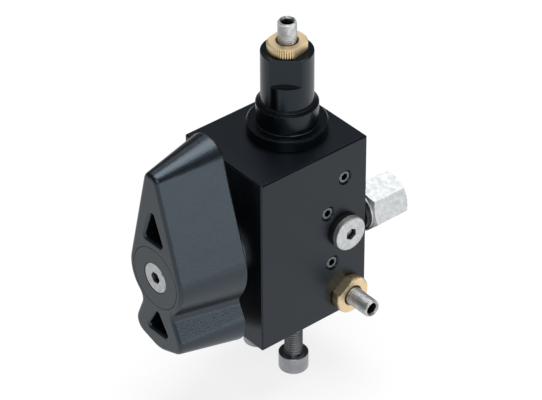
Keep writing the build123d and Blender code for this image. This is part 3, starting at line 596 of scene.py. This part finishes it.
def make_hole_shade_mask():
    """A mask of painted shade: 1 deep in holes and grooves and 0 on open faces."""
    tree, start, end = group("hole_shade", {"Vector": VECTOR, "Distance": VALUE}, {"Mask": VALUE})
    open_sky = tree.nodes.new("ShaderNodeAmbientOcclusion")
    open_sky.samples = CREVICE_SAMPLES
    feed(tree, start.outputs["Distance"], open_sky.inputs["Distance"])
    uneven = noise(tree, start.outputs["Vector"], CREVICE_BREAK_SCALE)
    breaks = math_node(tree, "MULTIPLY", uneven, CREVICE_BREAK_DEPTH)
    seen = math_node(tree, "SUBTRACT", open_sky.outputs["AO"], breaks)
    feed(tree, ramp(tree, seen, CREVICE_SPAN, (1.0, 0.0)), end.inputs["Mask"])
    return tree


def material(name, colour, metallic, roughness):
    """A material with a Principled shader and object coordinates; returns what finishes need."""
    made = bpy.data.materials.new(name)
    made.use_nodes = True
    tree = made.node_tree
    shader = tree.nodes["Principled BSDF"]
    feed(tree, colour, shader.inputs["Base Color"])
    feed(tree, metallic, shader.inputs["Metallic"])
    feed(tree, roughness, shader.inputs["Roughness"])
    place = tree.nodes.new("ShaderNodeTexCoord").outputs["Object"]
    return made, tree, shader, place


def use(tree, shared, place, **values):
    """Places a shared group in a material and sets its numbers; returns the node."""
    node = tree.nodes.new("ShaderNodeGroup")
    node.node_tree = shared
    feed(tree, place, node.inputs["Vector"])
    for label, value in values.items():
        feed(tree, value, node.inputs[label])
    return node


def times(colour, share):
    """A colour made paler or darker by a share, up to white."""
    return tuple(min(1.0, share * part) for part in colour)


def blend_colour(tree, mask, first, second):
    """Mixes two colours, each a colour or a socket, by a mask; returns the mixed colour."""
    node = tree.nodes.new("ShaderNodeMix")
    node.data_type = "RGBA"
    feed(tree, mask, node.inputs["Factor"])
    feed(tree, first, node.inputs[6])
    feed(tree, second, node.inputs[7])
    return node.outputs[2]


def add_surface(tree, shader, grain, colour, roughness, spread, grain_depth):
    """Gives a shader its mixed colour, its uneven roughness and its grain as bump."""
    feed(tree, colour, shader.inputs["Base Color"])
    results = tuple(share * roughness for share in spread)
    uneven = ramp(tree, grain.outputs["Mask"], (0.0, 1.0), results)
    feed(tree, uneven, shader.inputs["Roughness"])
    relief = tree.nodes.new("ShaderNodeBump")
    feed(tree, grain_depth, relief.inputs["Distance"])
    feed(tree, grain.outputs["Height"], relief.inputs["Height"])
    feed(tree, relief.outputs["Normal"], shader.inputs["Normal"])


def coated(shared, name, colour, wear_and_highlight_colour, roughness, gloss, tint, grain_scale, grain_depth):
    """A dark finish on metal or plastic: fine grain, small patches, and edges paler by wear and a
    painted highlight.
    """
    made, tree, shader, place = material(name, colour, 0.0, roughness)
    feed(tree, gloss, shader.inputs["Specular IOR Level"])
    feed(tree, tint, shader.inputs["Specular Tint"])
    grain = use(tree, shared["grain"], place, Scale=grain_scale)
    edges = use(tree, shared["edges"], place)
    mixed = blend_colour(tree, grain.outputs["Mask"], colour, times(colour, COATING_PATCH))
    # Paler edges: partly wear, partly a painted highlight.
    mixed = blend_colour(tree, edges.outputs["Mask"], mixed, wear_and_highlight_colour)
    add_surface(tree, shader, grain, mixed, roughness, COATING_ROUGHNESS, grain_depth)
    return made


def metal(shared, name, colour, roughness, mottle, grain_scale, grain_depth, hole_size):
    """A bare or plated metal: fine grain, mottled colour, a painted highlight on its edges and
    painted shade in its holes.
    """
    made, tree, shader, place = material(name, colour, 1.0, roughness)
    grain = use(tree, shared["grain"], place, Scale=grain_scale)
    edges = use(tree, shared["edges"], place)
    hole_shade = use(tree, shared["hole_shade"], place, Distance=hole_size * MM)
    mixed = blend_colour(tree, grain.outputs["Mask"], times(colour, 1 - mottle), colour)
    # Painted highlight: the edges brightened.
    mixed = blend_colour(tree, edges.outputs["Mask"], mixed, times(colour, METAL_EDGE_HIGHLIGHT))
    # Painted shade: holes and grooves darkened nearly to black.
    mixed = blend_colour(tree, hole_shade.outputs["Mask"], mixed, times(colour, METAL_HOLE_SHADE))
    add_surface(tree, shader, grain, mixed, roughness, METAL_ROUGHNESS, grain_depth)
    return made


def make_finishes():
    """One material for each of the record's slots."""
    shared = {"grain": make_grain(), "edges": make_wear_and_highlight_mask(), "hole_shade": make_hole_shade_mask()}
    finishes = {slot: coated(shared, slot, **look) for slot, look in COATINGS.items()}
    finishes.update({slot: metal(shared, slot, **look) for slot, look in METALS.items()})
    return finishes


def dress(finishes):
    """Gives every CAD node and every new piece its finish."""
    slots = {part["node"]: part["material_slot"] for part in frame["record"]["subparts"]}
    for node, obj in frame["nodes"].items():
        obj.data.materials.clear()
        obj.data.materials.append(finishes[slots[node]])
    for obj in bpy.context.scene.objects:
        if obj.type == "MESH" and obj.name not in frame["nodes"] and "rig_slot" in obj:
            obj.data.materials.append(finishes[obj["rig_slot"]])


# Studio


def make_floor():
    """A floor that the camera sees as white, with the valve's soft shadow on it."""
    bm = bmesh.new()
    bmesh.ops.create_grid(bm, x_segments=1, y_segments=1, size=FLOOR_HALF_WIDTH)
    bmesh.ops.translate(bm, verts=bm.verts, vec=(0, 0, FLOOR_LEVEL))
    mesh = bpy.data.meshes.new("studio_floor")
    bm.to_mesh(mesh)
    bm.free()
    floor = bpy.data.objects.new("studio_floor", mesh)
    bpy.context.scene.collection.objects.link(floor)
    colour = (FLOOR_GREY, FLOOR_GREY, FLOOR_GREY)
    made, tree, shader, place = material("studio_floor", colour, 0.0, FLOOR_ROUGHNESS)
    feed(tree, 0.0, shader.inputs["Specular IOR Level"])
    rays = tree.nodes.new("ShaderNodeLightPath").outputs
    across = tree.nodes.new("ShaderNodeSeparateXYZ")
    feed(tree, place, across.inputs[0])
    # Painted shade in reflections: the floor glows less on its left.
    glow = ramp(tree, across.outputs["X"], FLOOR_CHANGE, FLOOR_MIRRORED)
    mirrored = math_node(tree, "MAXIMUM", rays["Is Glossy Ray"], rays["Is Transmission Ray"])
    mirrored = math_node(tree, "MULTIPLY", mirrored, glow)
    seen = math_node(tree, "MULTIPLY", rays["Is Camera Ray"], FLOOR_SEEN)
    feed(tree, (1.0, 1.0, 1.0), shader.inputs["Emission Color"])
    feed(tree, math_node(tree, "ADD", seen, mirrored), shader.inputs["Emission Strength"])
    mesh.materials.append(made)


def area_lamp(name, toward, distance, width, height, power):
    """A soft box that shines on the valve from one direction."""
    data = bpy.data.lights.new(name, "AREA")
    data.shape = "RECTANGLE"
    data.size, data.size_y = width, height
    data.energy = power
    lamp = bpy.data.objects.new(name, data)
    direction = Vector(toward).normalized()
    lamp.location = direction * distance
    lamp.rotation_mode = "QUATERNION"
    lamp.rotation_quaternion = direction.to_track_quat("Z", "Y")
    bpy.context.scene.collection.objects.link(lamp)


def make_world():
    """A faint even light from all round."""
    world = bpy.data.worlds.new("studio")
    world.use_nodes = True
    sky = world.node_tree.nodes["Background"]
    feed(world.node_tree, (1.0, 1.0, 1.0), sky.inputs["Color"])
    feed(world.node_tree, WORLD_STRENGTH, sky.inputs["Strength"])
    bpy.context.scene.world = world


def make_camera():
    """The camera, where the photograph was taken from."""
    data = bpy.data.cameras.new("camera")
    data.lens = CAMERA_LENS
    data.sensor_fit = "HORIZONTAL"
    data.sensor_width = CAMERA_FILM_WIDTH
    data.clip_start, data.clip_end = CAMERA_RANGE
    camera = bpy.data.objects.new("camera", data)
    right = Vector((cos(CAMERA_AZIMUTH), sin(CAMERA_AZIMUTH), 0))
    flat, rise = cos(CAMERA_ELEVATION), sin(CAMERA_ELEVATION)
    back = Vector((sin(CAMERA_AZIMUTH) * flat, -cos(CAMERA_AZIMUTH) * flat, rise))
    up = back.cross(right)
    rolled_right = cos(CAMERA_ROLL) * right + sin(CAMERA_ROLL) * up
    rolled_up = cos(CAMERA_ROLL) * up - sin(CAMERA_ROLL) * right
    turn = Matrix((rolled_right, rolled_up, back)).transposed().to_4x4()
    camera.matrix_world = Matrix.Translation(CAMERA_PLACE) @ turn
    bpy.context.scene.collection.objects.link(camera)
    bpy.context.scene.camera = camera


make_adjusting_screws()
make_fixing_screws()
make_lock_nuts()
make_collar_bead()
make_springs()
dress(make_finishes())

make_floor()
for softbox, setting in SOFT_BOXES.items():
    area_lamp(softbox, *setting)
make_world()
make_camera()
bpy.context.scene.view_settings.view_transform = "Standard"
